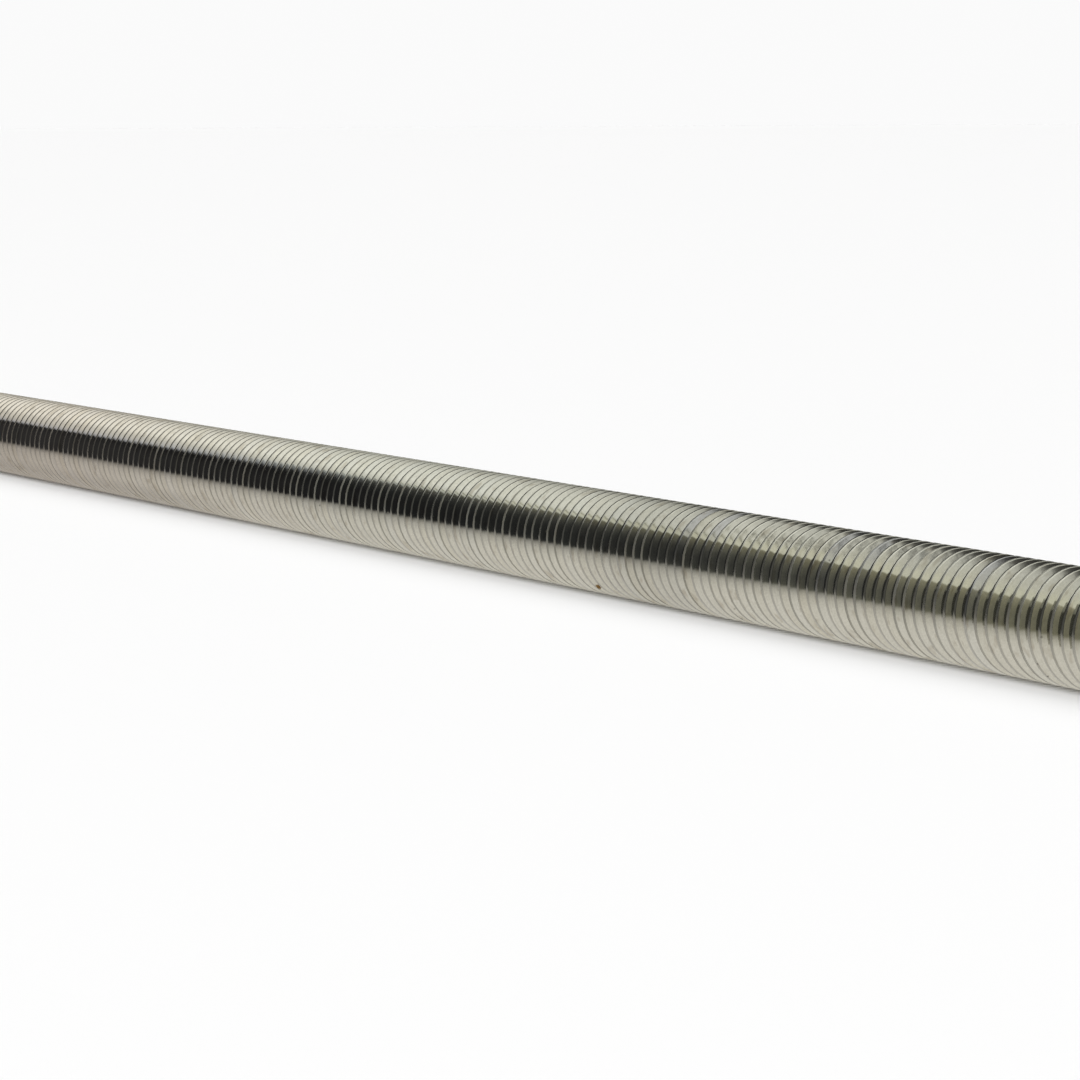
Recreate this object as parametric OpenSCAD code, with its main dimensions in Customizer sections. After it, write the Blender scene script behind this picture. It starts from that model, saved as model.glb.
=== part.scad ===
/* [Rod] */
// Overall length of the rod
rod_length = 300; // [60:5:330]

/* [Thread] */
// Major diameter, over the crests
major_d = 12; // [8:0.5:20]
// Pitch, from one crest to the next along the rod
pitch = 1.75; // [1.5:0.05:2.5]
// Angle between the two flanks of a groove
thread_angle = 60; // [55:1:65]
// Width of the flat crest
crest_w = 0.22; // [0.15:0.01:0.3]

/* [Ends] */
// Length of the chamfer at each sawn end
chamfer_l = 1.3; // [0.5:0.1:2]
// Angle of the chamfer, from the rod's axis
chamfer_angle = 45; // [30:5:50]

/* [Hidden] */

major_r = major_d / 2;
chamfered_r = major_r - chamfer_l * tan(chamfer_angle);

// The two flanks of a ridge would meet in a sharp crest just past the flat one
flank_rise = 1 / tan(thread_angle / 2);
sharp_crest_r = major_r + crest_w / 2 * flank_rise;
root_r = sharp_crest_r - pitch / 2 * flank_rise;

// The facets are shared out over the turns, so a longer rod has coarser turns
facet_budget = 8000;
facets_per_side = 4;
turns = ceil(rod_length / pitch) + 2;
sides = min(32, floor(facet_budget / facets_per_side / turns));
last_step = turns * sides;

// Corners stand out from the true radius as far as the sides' middles fall short
corner_scale = 2 / (1 + cos(180 / sides));

// The groove's root and the ridge's sharp crest, at one step along the helix
function root_and_crest(step) =
    let (turned = 360 * (step % sides) / sides,
         z = pitch * (step / sides - 1.5),
         root = root_r * corner_scale,
         crest = sharp_crest_r * corner_scale)
    [[root * cos(turned), root * sin(turned), z],
     [crest * cos(turned), crest * sin(turned), z + pitch / 2]];

// Where a step's two points stand in the list of points
function root_at(step) = 2 * step;
function crest_at(step) = 2 * step + 1;

// Right-hand V thread with sharp crests, longer than the rod at both ends
module sharp_thread() {
    points = concat(
        [for (step = [0:last_step]) each root_and_crest(step)],
        [[0, 0, -1.5 * pitch], [0, 0, (turns - 1) * pitch]]);
    low_centre = 2 * (last_step + 1);
    high_centre = low_centre + 1;
    rising_flank = [for (step = [0:last_step - 1])
        [root_at(step), crest_at(step), crest_at(step + 1), root_at(step + 1)]];
    falling_flank = [for (step = [0:last_step - sides - 1])
        [crest_at(step), root_at(step + sides), root_at(step + sides + 1), crest_at(step + 1)]];
    low_end = concat(
        [for (step = [0:sides - 1]) [low_centre, root_at(step), root_at(step + 1)]],
        [[low_centre, root_at(sides), crest_at(0)],
         [low_centre, crest_at(0), root_at(0)]]);
    high_end = concat(
        [for (step = [last_step - sides:last_step - 1])
            [high_centre, crest_at(step + 1), crest_at(step)]],
        [[high_centre, crest_at(last_step - sides), root_at(last_step)],
         [high_centre, root_at(last_step), crest_at(last_step)]]);
    polyhedron(points, concat(rising_flank, falling_flank, low_end, high_end), convexity = 10);
}

// Round bar with chamfered ends
module bar() {
    rotate_extrude($fn = 96)
        polygon([[0, 0], [chamfered_r, 0],
                 [major_r, chamfer_l], [major_r, rod_length - chamfer_l],
                 [chamfered_r, rod_length], [0, rod_length]]);
}

// The bar trims the thread: its wall leaves the flat crests, its ends the chamfered ones
module threaded_rod() {
    color("silver")
        rotate([0, 90, 0])
            translate([0, 0, -rod_length / 2])
                intersection() {
                    bar();
                    sharp_thread();
                }
}

threaded_rod();
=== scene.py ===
import math

import bpy
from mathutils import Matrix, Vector


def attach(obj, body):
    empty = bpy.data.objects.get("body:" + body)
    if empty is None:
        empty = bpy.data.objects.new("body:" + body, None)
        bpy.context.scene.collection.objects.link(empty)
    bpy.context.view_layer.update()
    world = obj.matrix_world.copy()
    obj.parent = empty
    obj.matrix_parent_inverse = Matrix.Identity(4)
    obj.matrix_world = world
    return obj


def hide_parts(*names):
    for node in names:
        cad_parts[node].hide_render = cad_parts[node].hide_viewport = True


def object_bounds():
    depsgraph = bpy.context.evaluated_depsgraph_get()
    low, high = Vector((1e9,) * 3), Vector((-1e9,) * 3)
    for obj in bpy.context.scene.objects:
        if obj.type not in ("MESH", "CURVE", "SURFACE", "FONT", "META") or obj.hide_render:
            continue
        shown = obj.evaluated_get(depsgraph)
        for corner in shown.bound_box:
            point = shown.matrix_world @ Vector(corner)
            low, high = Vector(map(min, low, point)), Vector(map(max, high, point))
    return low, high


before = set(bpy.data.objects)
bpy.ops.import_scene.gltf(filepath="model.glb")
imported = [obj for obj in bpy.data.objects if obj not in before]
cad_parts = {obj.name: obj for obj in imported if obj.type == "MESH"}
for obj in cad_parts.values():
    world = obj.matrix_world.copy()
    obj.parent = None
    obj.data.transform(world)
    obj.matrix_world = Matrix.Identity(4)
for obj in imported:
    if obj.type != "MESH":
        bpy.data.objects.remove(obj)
cad_low, cad_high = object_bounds()

# ---------------------------------------------------------------------------
# Camera: a long lens half a metre from the rod, off its right-hand end and a little above.
# It looks down the rod's length, and neither end is in view.
MM = 0.001
camera_aim = Vector((5.28, 8.41, -3.06)) * MM
camera_distance = 507.1 * MM
camera_azimuth = math.radians(59.78)
camera_elevation = math.radians(6.22)

camera_back = Vector((
    math.sin(camera_azimuth) * math.cos(camera_elevation),
    -math.cos(camera_azimuth) * math.cos(camera_elevation),
    math.sin(camera_elevation),
))
bpy.ops.object.camera_add(location=camera_aim + camera_back * camera_distance)
camera = bpy.context.object
camera.name = "camera"
camera.rotation_euler = camera_back.to_track_quat("Z", "Y").to_euler()
camera.data.lens = 136.3
camera.data.sensor_width = 36
camera.data.clip_start = 10 * MM
camera.data.clip_end = 40
bpy.context.scene.camera = camera

# ---------------------------------------------------------------------------
# Threaded rod: a mild steel bar with a right-hand metric thread along its whole length.
# The thread is rolled on cold between two dies, which leaves smooth flanks, rounded
# roots and slightly rounded crests. The bar is then sawn to length and chamfered.
rod_length = cad_high.x - cad_low.x
crest_r = -cad_low.z
pitch = 1.75 * MM
flank_lean = math.radians(31.2)
crest_width = 0.38 * MM
crest_edge_r = 0.04 * MM
shoulder_depth = 0.05 * MM
hollow_lean = math.radians(32.4)
hollow_depth = 0.55 * MM
root_curve_r = pitch / 8
chamfer_l = 1.3 * MM
steps_per_turn = 42
root_steps = 2

# Half of the thread's outline, from the middle of a root up to the crest. Each point is a
# distance along the rod from the crest's middle and a distance from the rod's axis. The
# flank is a little hollow: deep down it leans over more, into the round root. A shoulder
# close under the crest keeps the rounding of the crest's edge from shading the flank.
hollow_x = -crest_width / 2 - hollow_depth * math.tan(flank_lean)
hollow_r = crest_r - hollow_depth
root_turn = math.pi / 2 - hollow_lean
root_edge_x = -pitch / 2 + root_curve_r * math.sin(root_turn)
root_edge_r = hollow_r - (hollow_x - root_edge_x) / math.tan(hollow_lean)
root_centre_r = root_edge_r + root_curve_r * math.cos(root_turn)
half_outline = []
for i in range(root_steps + 1):
    turn = root_turn * i / root_steps
    half_outline.append((-pitch / 2 + root_curve_r * math.sin(turn),
                         root_centre_r - root_curve_r * math.cos(turn)))
flank_turn = math.pi / 2 - flank_lean
edge_cut = crest_edge_r * math.tan(flank_turn / 2)
half_outline += [
    (hollow_x, hollow_r),
    (-crest_width / 2 - shoulder_depth * math.tan(flank_lean), crest_r - shoulder_depth),
    (-crest_width / 2 - edge_cut * math.cos(flank_turn),
     crest_r - edge_cut * math.sin(flank_turn)),
    (-crest_width / 2 + edge_cut, crest_r),
]
outline = half_outline + [(-x, r) for x, r in reversed(half_outline)]

# One pitch of the outline is drawn below the axis, two turns before the rod's left end, by
# pulling one vertex from point to point
turns_before = 2
turns_after = 1
first_crest_x = -rod_length / 2 - turns_before * pitch
bpy.ops.object.select_all(action="DESELECT")
bpy.ops.mesh.primitive_plane_add(size=pitch, location=(0, 0, 0))
rod = bpy.context.object
rod.name = "rod"
bpy.ops.object.mode_set(mode="EDIT")
bpy.ops.mesh.merge(type="CENTER")
bpy.ops.transform.translate(value=(first_crest_x + outline[0][0], 0, -outline[0][1]))
for (x, r), (next_x, next_r) in zip(outline, outline[1:]):
    bpy.ops.mesh.extrude_region_move(
        TRANSFORM_OT_translate={"value": (next_x - x, 0, r - next_r)})
bpy.ops.object.mode_set(mode="OBJECT")

# The outline is screwed along the rod, past both ends, and the turns are joined and closed
turns = rod.modifiers.new("turns", "SCREW")
turns.axis = "X"
turns.angle = math.radians(360)
turns.screw_offset = pitch
turns.iterations = math.ceil(rod_length / pitch) + turns_before + turns_after
turns.steps = steps_per_turn
turns.render_steps = steps_per_turn
bpy.ops.object.modifier_apply(modifier="turns")
bpy.ops.object.mode_set(mode="EDIT")
bpy.ops.mesh.select_all(action="SELECT")
bpy.ops.mesh.remove_doubles(threshold=0.001 * MM)
bpy.ops.mesh.fill_holes(sides=0)
bpy.ops.mesh.normals_make_consistent(inside=False)
bpy.ops.object.mode_set(mode="OBJECT")

# A larger bar, chamfered at both ends, trims the thread to length
trim_clearance = 1 * MM
bpy.ops.object.select_all(action="DESELECT")
bpy.ops.mesh.primitive_cylinder_add(
    vertices=96, radius=crest_r + trim_clearance, depth=rod_length,
    rotation=(0, math.radians(90), 0))
trim = bpy.context.object
bpy.ops.object.transform_apply(location=False, rotation=True, scale=False)
bpy.ops.object.mode_set(mode="EDIT")
bpy.ops.mesh.select_mode(type="EDGE")
bpy.ops.mesh.select_all(action="DESELECT")
bpy.ops.object.mode_set(mode="OBJECT")
for rim_edge in trim.data.edges:
    a, b = (trim.data.vertices[v].co.x for v in rim_edge.vertices)
    rim_edge.select = math.isclose(a, b, abs_tol=0.01 * MM)
bpy.ops.object.mode_set(mode="EDIT")
bpy.ops.mesh.bevel(offset=chamfer_l + trim_clearance, offset_type="OFFSET", segments=1)
bpy.ops.object.mode_set(mode="OBJECT")

bpy.ops.object.select_all(action="DESELECT")
bpy.context.view_layer.objects.active = rod
rod.select_set(True)
cut = rod.modifiers.new("cut", "BOOLEAN")
cut.operation = "INTERSECT"
cut.solver = "MANIFOLD"
cut.object = trim
bpy.ops.object.modifier_apply(modifier="cut")
bpy.data.objects.remove(trim)

# Roots and crest edges shade as round; the chamfers and the end faces stay sharp
bpy.ops.object.shade_smooth_by_angle(angle=math.radians(35))
even = rod.modifiers.new("even shading", "WEIGHTED_NORMAL")
even.keep_sharp = True
bpy.ops.object.modifier_apply(modifier="even shading")

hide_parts("threaded_rod")
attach(rod, "root")


# Zinc plating, bright and clear-passivated: a pale grey metal under a film so thin that
# its tint wanders from cream to blue-grey from one ridge to the next. Handling has left
# faint brown smudges, dark specks and one spot of rust. The roots are darkened with grime
# and painted shade, and the underside toward the left-hand end with painted shade.
def linear(hex_colour):
    channels = [int(hex_colour[i:i + 2], 16) / 255 for i in (1, 3, 5)]
    return [c / 12.92 if c <= 0.04045 else ((c + 0.055) / 1.055) ** 2.4
            for c in channels] + [1]


# Inputs go by name, or by number where names repeat: a colour Mix has its share at 0 and
# its two colours at 6 and 7. Stops are a colour ramp's places and colours
def add_node(material, kind, settings=None, inputs=None, stops=()):
    node = material.node_tree.nodes.new("ShaderNode" + kind)
    for name, value in (settings or {}).items():
        setattr(node, name, value)
    for name, value in (inputs or {}).items():
        if isinstance(value, bpy.types.NodeSocket):
            material.node_tree.links.new(value, node.inputs[name])
        else:
            node.inputs[name].default_value = value
    if stops:
        points = node.color_ramp.elements
        points[0].position, points[1].position = stops[0][0], stops[-1][0]
        for position, colour in stops[1:-1]:
            points.new(position)
        for point, (_, colour) in zip(points, stops):
            point.color = colour
    return node


zinc = bpy.data.materials.new("clear zinc plating")
zinc.use_nodes = True
plating = zinc.node_tree.nodes["Principled BSDF"]
place = add_node(zinc, "TexCoord").outputs["Object"]
axes = add_node(zinc, "SeparateXYZ", inputs={0: place})

# Which parts are threaded, and which are the sawn end faces
end_x = rod_length / 2
from_middle = add_node(zinc, "Math", {"operation": "ABSOLUTE"}, {0: axes.outputs["X"]})
threaded = add_node(zinc, "Math", {"operation": "LESS_THAN"},
                    {0: from_middle.outputs[0], 1: end_x - chamfer_l})
sawn = add_node(zinc, "MapRange", inputs={
    "Value": from_middle.outputs[0], "From Min": end_x - 0.05 * MM,
    "From Max": end_x - 0.02 * MM})

# Where a point lies on the thread: how many turns it is from the rod's end when it is
# followed round its own ridge, how far it is from that ridge's middle, and how far out.
# On the chamfers and the end faces the first two are zero, so that those stay plain
upside = add_node(zinc, "Math", {"operation": "MULTIPLY"}, {0: axes.outputs["Z"], 1: -1})
angle = add_node(zinc, "Math", {"operation": "ARCTAN2"},
                 {0: axes.outputs["Y"], 1: upside.outputs[0]})
part_turn = add_node(zinc, "Math", {"operation": "DIVIDE"},
                     {0: angle.outputs[0], 1: 2 * math.pi})
pitches = add_node(zinc, "Math", {"operation": "MULTIPLY_ADD"},
                   {0: axes.outputs["X"], 1: 1 / pitch, 2: end_x / pitch})
unwound = add_node(zinc, "Math", {"operation": "SUBTRACT"},
                   {0: pitches.outputs[0], 1: part_turn.outputs[0]})
ridge = add_node(zinc, "Math", {"operation": "ROUND"}, {0: unwound.outputs[0]})
followed = add_node(zinc, "Math", {"operation": "ADD"},
                    {0: ridge.outputs[0], 1: part_turn.outputs[0]})
wound = add_node(zinc, "Math", {"operation": "MULTIPLY"},
                 {0: followed.outputs[0], 1: threaded.outputs[0]})
off_ridge = add_node(zinc, "Math", {"operation": "SUBTRACT"},
                     {0: unwound.outputs[0], 1: ridge.outputs[0]})
across = add_node(zinc, "Math", {"operation": "MULTIPLY"},
                  {0: off_ridge.outputs[0], 1: threaded.outputs[0]})
radial = add_node(zinc, "CombineXYZ", inputs={"Y": axes.outputs["Y"], "Z": axes.outputs["Z"]})
out = add_node(zinc, "VectorMath", {"operation": "LENGTH"}, {0: radial.outputs[0]})
on_ridge = add_node(zinc, "CombineXYZ", inputs={"X": wound.outputs[0], "Y": across.outputs[0]})

# The film: cream, with a bluer grey on the upper side of a few ridges near the right-hand
# end, and warmer toward the left-hand one. A turn is 38 mm long, measured round the rod
tints_per_turn = 0.6
cream, buff, blue_grey, warm_white = "#D1D2C6", "#CBC9B7", "#BABBB7", "#FFF7F7"
ridge_tint = add_node(zinc, "TexNoise", {"noise_dimensions": "1D"},
                      {"W": wound.outputs[0], "Scale": tints_per_turn, "Detail": 1})
film = add_node(zinc, "Mix", {"data_type": "RGBA"}, {
    0: ridge_tint.outputs["Fac"], 6: linear(cream), 7: linear(buff)})
bloom = add_node(zinc, "MapRange", inputs={
    "Value": ridge_tint.outputs["Fac"], "From Min": 0.38, "From Max": 0.3})
bloom_side = add_node(zinc, "MapRange", inputs={
    "Value": axes.outputs["Z"], "From Min": -1 * MM, "From Max": 1.5 * MM, "To Max": 0.8})
bloom_end = add_node(zinc, "MapRange", inputs={
    "Value": axes.outputs["X"], "From Min": 49 * MM, "From Max": 53 * MM})
bloom_here = add_node(zinc, "Math", {"operation": "MULTIPLY"},
                      {0: bloom_side.outputs[0], 1: bloom_end.outputs[0]})
bloomed = add_node(zinc, "Math", {"operation": "MULTIPLY"},
                   {0: bloom.outputs[0], 1: bloom_here.outputs[0]})
greyed = add_node(zinc, "Mix", {"data_type": "RGBA"}, {
    0: bloomed.outputs[0], 6: film.outputs[2], 7: linear(blue_grey)})
warm_end = add_node(zinc, "MapRange", inputs={
    "Value": axes.outputs["X"], "From Min": -20 * MM, "From Max": -110 * MM, "To Max": 0.9})
warmed = add_node(zinc, "Mix", {"data_type": "RGBA", "blend_type": "MULTIPLY"}, {
    0: warm_end.outputs[0], 6: greyed.outputs[2], 7: linear(warm_white)})

# One stretch is dulled by handling, all round, 36 to 68 mm right of the middle. The
# underside, 50 mm and more left of the middle, is darkened with painted shade
along = add_node(zinc, "MapRange", inputs={
    "Value": axes.outputs["X"], "From Min": -end_x, "From Max": end_x})
held = add_node(zinc, "ValToRGB", inputs={0: along.outputs[0]}, stops=[
    (x * MM / rod_length + 0.5, (shade, shade, shade, 1))
    for x, shade in ((36, 1), (46, 0.88), (58, 0.88), (68, 1))])
handled = add_node(zinc, "Mix", {"data_type": "RGBA", "blend_type": "MULTIPLY"}, {
    0: 1.0, 6: warmed.outputs[2], 7: held.outputs["Color"]})
under = add_node(zinc, "MapRange", inputs={
    "Value": axes.outputs["Z"], "From Min": -2.4 * MM, "From Max": -4 * MM})
under_end = add_node(zinc, "MapRange", inputs={
    "Value": axes.outputs["X"], "From Min": -50 * MM, "From Max": -75 * MM, "To Max": 0.2})
# Painted shade: how much the underside on the left is darkened
underside_painted_shade = add_node(zinc, "Math", {"operation": "MULTIPLY"},
                      {0: under.outputs[0], 1: under_end.outputs[0]})
handled_and_shaded = add_node(zinc, "Mix", {"data_type": "RGBA"}, {
    0: underside_painted_shade.outputs[0], 6: handled.outputs[2], 7: (0, 0, 0, 1)})

# Fine mottling of the plated grain, and lines that the dies drew along the thread, each
# 13 mm long and 0.06 mm wide
grain_width = 0.25 * MM
lines_per_turn = 3
lines_per_pitch = 30
grain = add_node(zinc, "TexNoise", inputs={
    "Vector": place, "Scale": 1 / grain_width, "Detail": 3, "Roughness": 0.6})
grain_shade = add_node(zinc, "MapRange", inputs={
    "Value": grain.outputs["Fac"], "From Min": 0.3, "From Max": 0.7,
    "To Min": 0.94, "To Max": 1.07})
grained = add_node(zinc, "Mix", {"data_type": "RGBA", "blend_type": "MULTIPLY"}, {
    0: 1.0, 6: handled_and_shaded.outputs[2], 7: grain_shade.outputs[0]})
line_place = add_node(zinc, "Mapping", inputs={
    "Vector": on_ridge.outputs[0], "Scale": (lines_per_turn, lines_per_pitch, 1)})
die_lines = add_node(zinc, "TexNoise", {"noise_dimensions": "2D"}, {
    "Vector": line_place.outputs[0], "Scale": 1.0, "Detail": 2})
die_shade = add_node(zinc, "MapRange", inputs={
    "Value": die_lines.outputs["Fac"], "From Min": 0.35, "From Max": 0.65,
    "To Min": 0.98, "To Max": 1.03})
lined = add_node(zinc, "Mix", {"data_type": "RGBA", "blend_type": "MULTIPLY"}, {
    0: 1.0, 6: grained.outputs[2], 7: die_shade.outputs[0]})

# Faint brown smudges that keep to a ridge, each up to 2.7 mm long and 0.4 mm wide
faint_brown = "#988E79"
smudges_per_turn = 14
smudges_per_pitch = 4
smudge_place = add_node(zinc, "Mapping", inputs={
    "Vector": on_ridge.outputs[0], "Location": (3.1, 0, 0),
    "Scale": (smudges_per_turn, smudges_per_pitch, 1)})
smudge = add_node(zinc, "TexNoise", {"noise_dimensions": "2D"}, {
    "Vector": smudge_place.outputs[0], "Scale": 1.0, "Detail": 2})
smudged = add_node(zinc, "MapRange", inputs={
    "Value": smudge.outputs["Fac"], "From Min": 0.6, "From Max": 0.75, "To Max": 0.4})
dirty = add_node(zinc, "Mix", {"data_type": "RGBA"}, {
    0: smudged.outputs[0], 6: lined.outputs[2], 7: linear(faint_brown)})

# Grime and painted shade in the roots, but none on the chamfers and the end faces
root_grime_and_shade_grey = "#6E695E"
root_darkening_from_depth = 0.6 * MM
root_darkening_full_depth = 1.1 * MM
depth = add_node(zinc, "MapRange", inputs={
    "Value": out.outputs["Value"], "From Min": crest_r - root_darkening_from_depth,
    "From Max": crest_r - root_darkening_full_depth, "To Max": 0.7})
root_grime_and_shade = add_node(zinc, "Math", {"operation": "MULTIPLY"},
                 {0: depth.outputs[0], 1: threaded.outputs[0]})
grimy_and_shaded = add_node(zinc, "Mix", {"data_type": "RGBA"}, {
    0: root_grime_and_shade.outputs[0], 6: dirty.outputs[2], 7: linear(root_grime_and_shade_grey)})

# Dark specks, up to 0.3 mm across. Sizes are shares of the spacing
speck_brown = "#4A4539"
speck_spacing = 1.6 * MM
speck_cells = add_node(zinc, "TexVoronoi", inputs={
    "Vector": place, "Scale": 1 / speck_spacing})
speck_size = add_node(zinc, "SeparateColor", inputs={0: speck_cells.outputs["Color"]})
speck_reach = add_node(zinc, "MapRange", inputs={
    "Value": speck_size.outputs[0], "From Min": 0.6, "To Max": 0.11})
speck_edge = add_node(zinc, "Math", {"operation": "SUBTRACT"},
                      {0: speck_reach.outputs[0], 1: speck_cells.outputs["Distance"]})
speck_shade = add_node(zinc, "MapRange", inputs={
    "Value": speck_size.outputs[1], "To Min": 0.25, "To Max": 0.8})
specks = add_node(zinc, "MapRange", inputs={
    "Value": speck_edge.outputs[0], "From Min": -0.02, "From Max": 0.04,
    "To Max": speck_shade.outputs[0]})
specked = add_node(zinc, "Mix", {"data_type": "RGBA"}, {
    0: specks.outputs[0], 6: grimy_and_shaded.outputs[2], 7: linear(speck_brown)})

# One spot of rust low on the front, 0.3 mm wide along the rod and 0.8 mm long round it,
# with a ragged edge
rust_brown = "#6E5220"
rust_middle = (39.1 * MM, -3.45 * MM, -4.65 * MM)
rust_reach = (0.16 * MM, 0.42 * MM, 0.42 * MM)
rust_map = add_node(zinc, "Mapping", {"vector_type": "TEXTURE"}, {
    "Vector": place, "Location": rust_middle, "Scale": rust_reach})
rust_far = add_node(zinc, "VectorMath", {"operation": "LENGTH"}, {0: rust_map.outputs[0]})
rust_ragged = add_node(zinc, "Math", {"operation": "MULTIPLY_ADD"},
                       {0: grain.outputs["Fac"], 1: 1.2, 2: rust_far.outputs["Value"]})
rust = add_node(zinc, "MapRange", inputs={
    "Value": rust_ragged.outputs[0], "From Min": 1.8, "From Max": 1.3})
rusty = add_node(zinc, "Mix", {"data_type": "RGBA"}, {
    0: rust.outputs[0], 6: specked.outputs[2], 7: linear(rust_brown)})
zinc.node_tree.links.new(rusty.outputs[2], plating.inputs["Base Color"])

# Metal all over but for the rust, and mirror-bright where the dies pressed it smooth
clean = add_node(zinc, "Math", {"operation": "SUBTRACT"}, {0: 1, 1: rust.outputs[0]})
zinc.node_tree.links.new(clean.outputs[0], plating.inputs["Metallic"])
gloss = add_node(zinc, "MapRange", inputs={
    "Value": grain.outputs["Fac"], "From Min": 0.3, "From Max": 0.7,
    "To Min": 0.045, "To Max": 0.08})

# Rolled metal doesn't quite fill the dies at the crests, so that some stretches of crest
# are duller. The end faces are a little duller too, and the specks and the rust are matt
crest_edge = 0.12  # pitches from the ridge's middle
crest_edge_blur = 0.015
stretches_per_turn = 0.37
sawn_dullness = 0.14
from_crest = add_node(zinc, "Math", {"operation": "ABSOLUTE"}, {0: across.outputs[0]})
on_crest = add_node(zinc, "MapRange", inputs={
    "Value": from_crest.outputs[0], "From Min": crest_edge + crest_edge_blur,
    "From Max": crest_edge - crest_edge_blur})
stretches = add_node(zinc, "TexNoise", {"noise_dimensions": "1D"},
                     {"W": wound.outputs[0], "Scale": stretches_per_turn, "Detail": 2})
open_stretch = add_node(zinc, "MapRange", inputs={
    "Value": stretches.outputs["Fac"], "From Min": 0.42, "From Max": 0.62, "To Max": 0.5})
open_crest = add_node(zinc, "Math", {"operation": "MULTIPLY"},
                      {0: on_crest.outputs[0], 1: open_stretch.outputs[0]})
crest_dullness = add_node(zinc, "Math", {"operation": "MULTIPLY_ADD"}, {
    0: open_crest.outputs[0], 1: threaded.outputs[0], 2: gloss.outputs[0]})
metal_dullness = add_node(zinc, "Math", {"operation": "MULTIPLY_ADD"}, {
    0: sawn.outputs[0], 1: sawn_dullness, 2: crest_dullness.outputs[0]})
matt = add_node(zinc, "Math", {"operation": "MAXIMUM"},
                {0: specks.outputs[0], 1: rust.outputs[0]})
roughness = add_node(zinc, "Mix", inputs={
    0: matt.outputs[0], 2: metal_dullness.outputs[0], 3: 0.6})
zinc.node_tree.links.new(roughness.outputs[0], plating.inputs["Roughness"])

# Relief: slow waves in the rolled flanks, fine lines that the saw left on the end faces,
# and over them the die lines and the grain
wave_length = 0.8 * MM
wave_height = 0.0018 * MM
saw_line_width = 0.15 * MM
saw_line_length = 4 * MM
saw_line_depth = 0.02 * MM
grain_height = 0.0005 * MM
waves = add_node(zinc, "TexNoise", inputs={
    "Vector": place, "Scale": 1 / wave_length, "Detail": 0})
wavy = add_node(zinc, "Bump", inputs={
    "Height": waves.outputs["Fac"], "Strength": 1.0, "Distance": wave_height})
saw_place = add_node(zinc, "Mapping", inputs={
    "Vector": place, "Scale": (0, 1 / saw_line_width, 1 / saw_line_length)})
saw_lines = add_node(zinc, "TexNoise", inputs={
    "Vector": saw_place.outputs[0], "Scale": 1.0, "Detail": 2})
saw_depth = add_node(zinc, "Math", {"operation": "MULTIPLY"},
                     {0: saw_lines.outputs["Fac"], 1: sawn.outputs[0]})
scored = add_node(zinc, "Bump", inputs={
    "Height": saw_depth.outputs[0], "Strength": 1.0, "Distance": saw_line_depth,
    "Normal": wavy.outputs[0]})
relief = add_node(zinc, "Math", {"operation": "MULTIPLY_ADD"},
                  {0: die_lines.outputs["Fac"], 1: 0.5, 2: grain.outputs["Fac"]})
grainy = add_node(zinc, "Bump", inputs={
    "Height": relief.outputs[0], "Strength": 1.0, "Distance": grain_height,
    "Normal": scored.outputs[0]})
zinc.node_tree.links.new(grainy.outputs[0], plating.inputs["Normal"])
rod.data.materials.clear()
rod.data.materials.append(zinc)

# ---------------------------------------------------------------------------
# Floor and light: pale paper under a studio tent. A big soft box hangs over the rod, a
# second, dimmer one stands lower at its right-hand end, and dark drapes stand between
# them and the table, which shines back at the rod from below.
floor_size = 12.0
bpy.ops.object.select_all(action="DESELECT")
bpy.ops.mesh.primitive_plane_add(size=floor_size, location=(0, 0, cad_low.z))
floor = bpy.context.object
floor.name = "floor"

# Uncoated paper: matt and almost white, so that only the rod's soft shadow shows on it
paper = bpy.data.materials.new("pale paper")
paper.use_nodes = True
paper_shader = paper.node_tree.nodes["Principled BSDF"]
paper_shader.inputs["Base Color"].default_value = linear("#F4F4F4")
paper_shader.inputs["Roughness"].default_value = 0.9
floor.data.materials.append(paper)

# The rod mirrors the tent's own table, and not this sheet
floor.visible_glossy = False

# Every direction in the tent has a bearing round it and a height. Both go from 0 to 1, for
# a bearing of -180 to 180 degrees from +X and a height of -90 to 90 degrees
tent = bpy.data.worlds.new("studio tent")
bpy.context.scene.world = tent
tent.use_nodes = True
toward = add_node(tent, "TexCoord").outputs["Generated"]
compass = add_node(tent, "SeparateXYZ", inputs={0: toward})
turned = add_node(tent, "Math", {"operation": "ARCTAN2"},
                  {0: compass.outputs["Y"], 1: compass.outputs["X"]})
bearing = add_node(tent, "MapRange", inputs={
    "Value": turned.outputs[0], "From Min": -math.pi, "From Max": math.pi})
raised = add_node(tent, "Math", {"operation": "ARCSINE"}, {0: compass.outputs["Z"]})
height = add_node(tent, "MapRange", inputs={
    "Value": raised.outputs[0], "From Min": -math.pi / 2, "From Max": math.pi / 2})


# A light or a height that changes round the tent. Each stop has its bearing in degrees,
# and then its grey or its red, green and blue
def round_tent(stops, turn=bearing):
    ramp = add_node(tent, "ValToRGB", inputs={0: turn.outputs[0]}, stops=[
        (degrees / 360 + 0.5, (light * 3)[:3] + [1]) for degrees, *light in stops])
    return ramp.outputs["Color"]


# The height at which the lit part of the wall begins, above the drapes
lit_from = round_tent([(degrees, up / 180 + 0.5) for degrees, up in (
    (-180, 38), (-60, 36), (-40, 32), (-33, 30.6), (-29.5, 30.4), (-26, 32), (-24, 33.2),
    (-22, 35.1), (-20.5, 35.2), (-19, 34.5), (-18, 33.4), (-17, 31.8), (-16, 29.7),
    (-14.5, 26.5), (-10, 20), (14, 24), (24, 37), (30, 42.8), (36, 44.6), (44, 44.8),
    (48, 44), (52, 43.3), (56, 42), (60, 40.4), (66, 38.5), (90, 38), (180, 38))])

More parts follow.
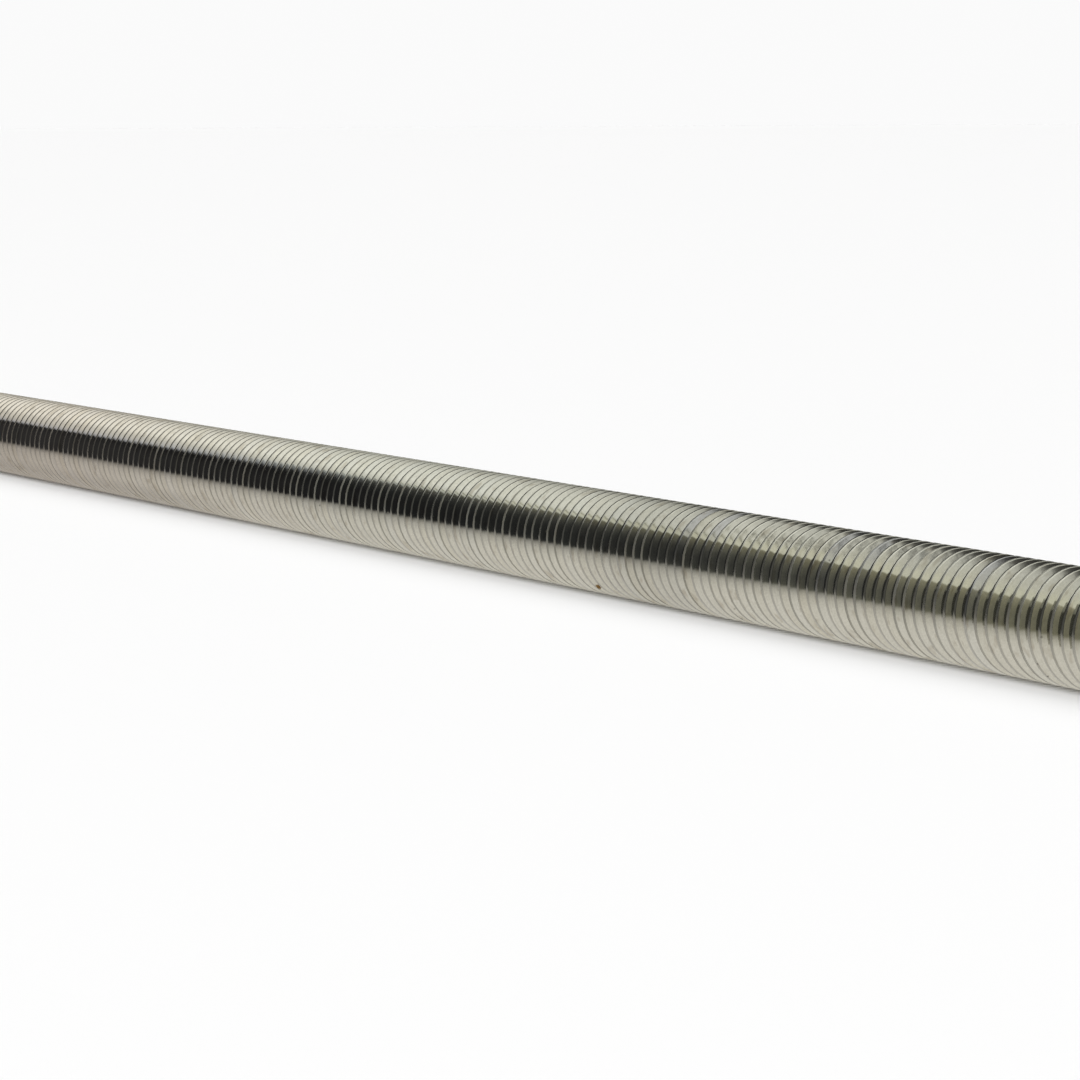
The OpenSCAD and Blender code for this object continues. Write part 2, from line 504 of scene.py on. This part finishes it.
# The height at which the upper box begins, above the lower one
box_from = round_tent([(degrees, up / 180 + 0.5) for degrees, up in (
    (-180, 38), (-60, 36), (-40, 32), (-33, 30.6), (-29.5, 30.4), (-26, 32), (-24, 34.3),
    (-22, 36.2), (-20, 37.1), (-18, 37.3), (-14, 37.4), (-11, 37.8), (-8, 39.2), (-4, 41.2),
    (0, 43.2), (4, 44.8), (12, 46.2), (24, 47.1), (30, 46.7), (36, 45.6), (44, 44.8),
    (48, 44), (52, 43.3), (56, 42), (60, 40.4), (66, 38.5), (90, 38), (180, 38))])

# The light of the two boxes and of the drapes, which hang at a slant
upper_box = round_tent([
    (-180, 0.9), (-150, 0.8), (-120, 0.35), (-60, 0.38), (-40, 0.5), (-28, 0.78),
    (-24, 0.9), (-20, 0.98), (-16, 1.03), (-8, 1.09), (4, 1.12), (12, 1.1), (20, 1.03),
    (28, 0.97), (32, 0.93), (36, 0.86), (44, 0.74), (52, 0.62), (90, 0.7), (180, 0.9)])
lower_box = round_tent([
    (-24, 0.64, 0.66, 0.66), (-20, 0.68, 0.69, 0.67), (-16, 0.76, 0.75, 0.67),
    (-10, 0.75, 0.74, 0.66), (-4, 0.71, 0.7, 0.66), (16, 0.71), (24, 0.64), (32, 0.52),
    (40, 0.5)])
drape_slant = -0.23  # degrees round for each degree up
drape_bearing = add_node(tent, "Math", {"operation": "MULTIPLY_ADD"}, {
    0: raised.outputs[0], 1: drape_slant / (2 * math.pi), 2: bearing.outputs[0]})
drapes = round_tent([
    (-180, 0.04), (-158, 0.045), (-151, 0.09), (-100, 0.09), (-70, 0.06),
    (-42, 0.042, 0.042, 0.047), (-39.6, 0.034, 0.034, 0.038), (-37.3, 0.022, 0.022, 0.025),
    (-36, 0.014, 0.014, 0.016), (-35, 0.014, 0.014, 0.016), (-34, 0.017, 0.018, 0.02),
    (-32.7, 0.023, 0.024, 0.026), (-31.3, 0.037, 0.038, 0.04), (-30, 0.057, 0.058, 0.057),
    (-29, 0.081, 0.081, 0.077), (-28, 0.122, 0.121, 0.108), (-26.6, 0.166, 0.16, 0.13),
    (-24.7, 0.225, 0.215, 0.165), (-22.6, 0.285, 0.272, 0.21), (-21.8, 0.335, 0.32, 0.248),
    (-20.7, 0.425, 0.405, 0.32), (-19, 0.555, 0.53, 0.44), (-16, 0.63, 0.61, 0.53),
    (12, 0.68), (18, 0.5), (22, 0.39), (26, 0.28), (30, 0.16), (38, 0.08), (50, 0.05),
    (180, 0.03)], drape_bearing)

# The table is brighter the farther it runs under the boxes, back and to the right, and
# its light is slightly red
rightward = 0.95  # a step right counts for this much of a step back
slant = add_node(tent, "Math", {"operation": "MULTIPLY_ADD"}, {
    0: compass.outputs["X"], 1: rightward, 2: compass.outputs["Y"]})
reach = add_node(tent, "Math", {"operation": "DIVIDE"},
                 {0: slant.outputs[0], 1: compass.outputs["Z"]})
reached = add_node(tent, "MapRange", inputs={
    "Value": reach.outputs[0], "From Min": 0, "From Max": -1})
table = add_node(tent, "ValToRGB", inputs={0: reached.outputs[0]}, stops=[
    (share, (light, light * 0.96, light * 0.96, 1)) for share, light in (
        (0.15, 0.565), (0.22, 0.6), (0.31, 0.63), (0.38, 0.71), (0.44, 0.77),
        (0.5, 0.785), (0.54, 0.82))])


# How far a direction is past a soft edge, from 0 below it to 1 above it. The softness and
# the lift, by which the edge is raised, are in degrees
def above(edge, softness, lift=0):
    over = add_node(tent, "Math", {"operation": "SUBTRACT"}, {0: height.outputs[0], 1: edge})
    return add_node(tent, "MapRange", {"interpolation_type": "SMOOTHSTEP"}, {
        "Value": over.outputs[0], "From Min": (lift - softness) / 180,
        "From Max": (lift + softness) / 180}).outputs[0]


# The upper box stands over the lower one, and is dimmer for 8 degrees above its lower rim
into_box = add_node(tent, "Math", {"operation": "SUBTRACT"},
                    {0: height.outputs[0], 1: box_from})
rim_share = add_node(tent, "MapRange", inputs={
    "Value": into_box.outputs[0], "From Min": 1.5 / 180, "From Max": 8 / 180,
    "To Min": 0.82, "To Max": 1.13})
shaded_box = add_node(tent, "Mix", {"data_type": "RGBA", "blend_type": "MULTIPLY"}, {
    0: 1.0, 6: upper_box, 7: rim_share.outputs[0]})
boxes = add_node(tent, "Mix", {"data_type": "RGBA"}, {
    0: above(box_from, 0.6), 6: lower_box, 7: shaded_box.outputs[2]})

# The foot of the lit wall, 5 degrees high, is bluer toward the front
foot_blue = round_tent([
    (-180, 1), (-60, 1), (-46, 0.99, 1, 1.08), (-38, 0.97, 1, 1.16), (-27, 0.96, 1, 1.2),
    (-21, 0.97, 1, 1.12), (-17, 1), (180, 1)])
foot = add_node(tent, "Math", {"operation": "SUBTRACT"}, {0: 1.0, 1: above(lit_from, 3, 2)})
tinted = add_node(tent, "Mix", {"data_type": "RGBA", "blend_type": "MULTIPLY"}, {
    0: foot.outputs[0], 6: boxes.outputs[2], 7: foot_blue})

# A dark gap parts the two boxes, from 1.2 to 0.55 degrees under the upper one
gap_dark = 0.35
gap = add_node(tent, "Math", {"operation": "SUBTRACT"}, {
    0: above(box_from, 0.15, -1.2), 1: above(box_from, 0.15, -0.55)})
parted = add_node(tent, "Mix", {"data_type": "RGBA", "blend_type": "MULTIPLY"}, {
    0: gap.outputs[0], 6: tinted.outputs[2], 7: (gap_dark, gap_dark, gap_dark, 1)})

# The walls have the drapes below, and the boxes above them
walls = add_node(tent, "Mix", {"data_type": "RGBA"}, {
    0: above(lit_from, 1.5), 6: drapes, 7: parted.outputs[2]})

# Far off, where it meets the drapes' foot, the table fades into them
on_table = add_node(tent, "ValToRGB", inputs={0: height.outputs[0]}, stops=[
    (degrees / 180 + 0.5, (share, share, share, 1)) for degrees, share in (
        (-30, 1), (-24, 0.96), (-18, 0.88), (-14, 0.79), (-10, 0.67), (-8, 0.58),
        (-6, 0.465), (-4, 0.3), (-2.9, 0.13), (-1.9, 0.02), (-1, 0))])
studio = add_node(tent, "Mix", {"data_type": "RGBA"}, {
    0: on_table.outputs["Color"], 6: walls.outputs[2], 7: table.outputs["Color"]})

# Seen straight, and not in the rod, the tent is as pale as the paper
seen = add_node(tent, "LightPath")
backdrop = add_node(tent, "Mix", {"data_type": "RGBA"}, {
    0: seen.outputs["Is Camera Ray"], 6: studio.outputs[2], 7: (0.96, 0.96, 0.96, 1)})
tent_light = tent.node_tree.nodes["Background"]
tent.node_tree.links.new(backdrop.outputs[2], tent_light.inputs["Color"])

# A broad lamp from the front lights the paper, and doesn't show in the rod
bpy.ops.object.light_add(type="SUN", rotation=(math.radians(58), 0, math.radians(30)))
lamp = bpy.context.object
lamp.name = "front light"
lamp.data.angle = math.radians(50)
lamp.data.energy = 3.6
lamp.visible_glossy = False

bpy.context.scene.view_settings.view_transform = "Standard"
